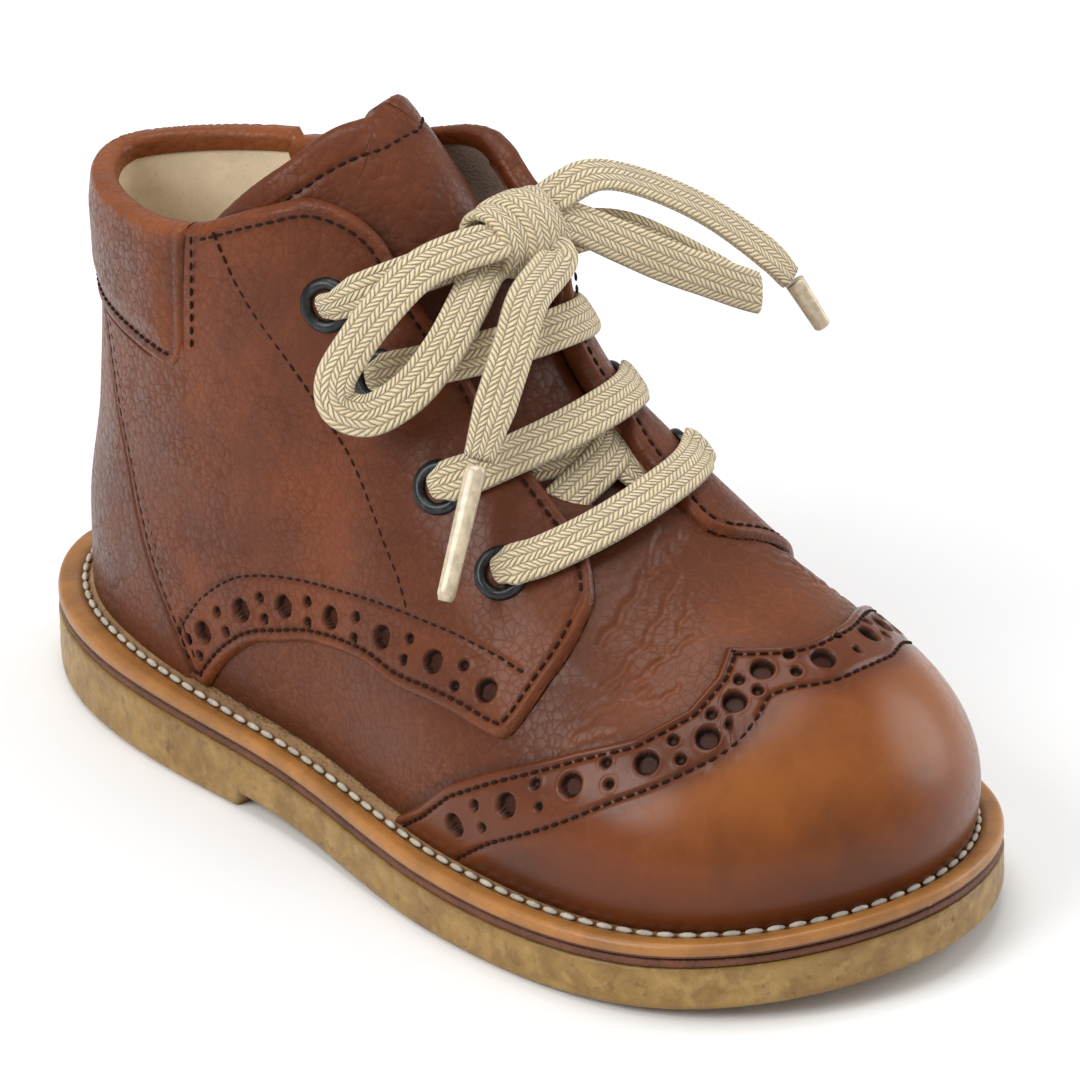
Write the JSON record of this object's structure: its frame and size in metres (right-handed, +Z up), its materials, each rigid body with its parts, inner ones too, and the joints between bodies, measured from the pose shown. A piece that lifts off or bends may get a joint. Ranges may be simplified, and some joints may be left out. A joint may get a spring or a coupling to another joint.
{
  "type": "lace-up ankle boot",
  "caption": "Child's right lace-up ankle boot in brogue style: hollow leather upper with wing tip, quarters and collar tab, arched tongue, tied flat lace, welt and crepe sole.",
  "frame": {"origin": "on the floor, under the middle of the heel's round end", "axes": "+X forwards to the toe, +Y to the medial side (the wearer's left on this right boot), +Z up"},
  "size_m": [0.1511, 0.0806, 0.0898],
  "materials": {
    "crepe": "matt honey-coloured crepe rubber",
    "runner": "dark reddish-brown leather edge",
    "welt_leather": "waxed orange-tan leather",
    "sock_leather": "matt cream lining leather",
    "brown_leather": "pebbled, lightly waxed",
    "toe_leather": "smooth, burnished",
    "eyelet_metal": "gunmetal lacquer",
    "lace_cotton": "herringbone-woven cotton",
    "aglet_plastic": "clear film over the lace's end"
  },
  "bodies": {
    "root": {"outsole": "crepe", "midsole": "runner", "welt": "welt_leather", "insole": "sock_leather", "upper": "brown_leather", "toe_cap": "toe_leather", "quarter_lateral": "brown_leather", "quarter_medial": "brown_leather", "counter": "brown_leather", "collar_tab": "brown_leather", "tongue": "brown_leather", "eyelet_lateral_1": "eyelet_metal", "eyelet_lateral_2": "eyelet_metal", "eyelet_lateral_3": "eyelet_metal", "eyelet_lateral_4": "eyelet_metal", "eyelet_medial_1": "eyelet_metal", "eyelet_medial_2": "eyelet_metal", "eyelet_medial_3": "eyelet_metal", "eyelet_medial_4": "eyelet_metal", "lace_bar_1": "lace_cotton", "lace_bar_2": "lace_cotton", "lace_bar_3": "lace_cotton", "lace_crossing": "lace_cotton", "lace_run_lateral": "lace_cotton", "lace_run_medial": "lace_cotton", "lace_knot": "lace_cotton", "lace_loop_lateral": "lace_cotton", "lace_loop_medial": "lace_cotton", "lace_end_lateral": "lace_cotton", "lace_end_medial": "lace_cotton", "aglet_lateral": "aglet_plastic", "aglet_medial": "aglet_plastic"}
  },
  "joints": []
}
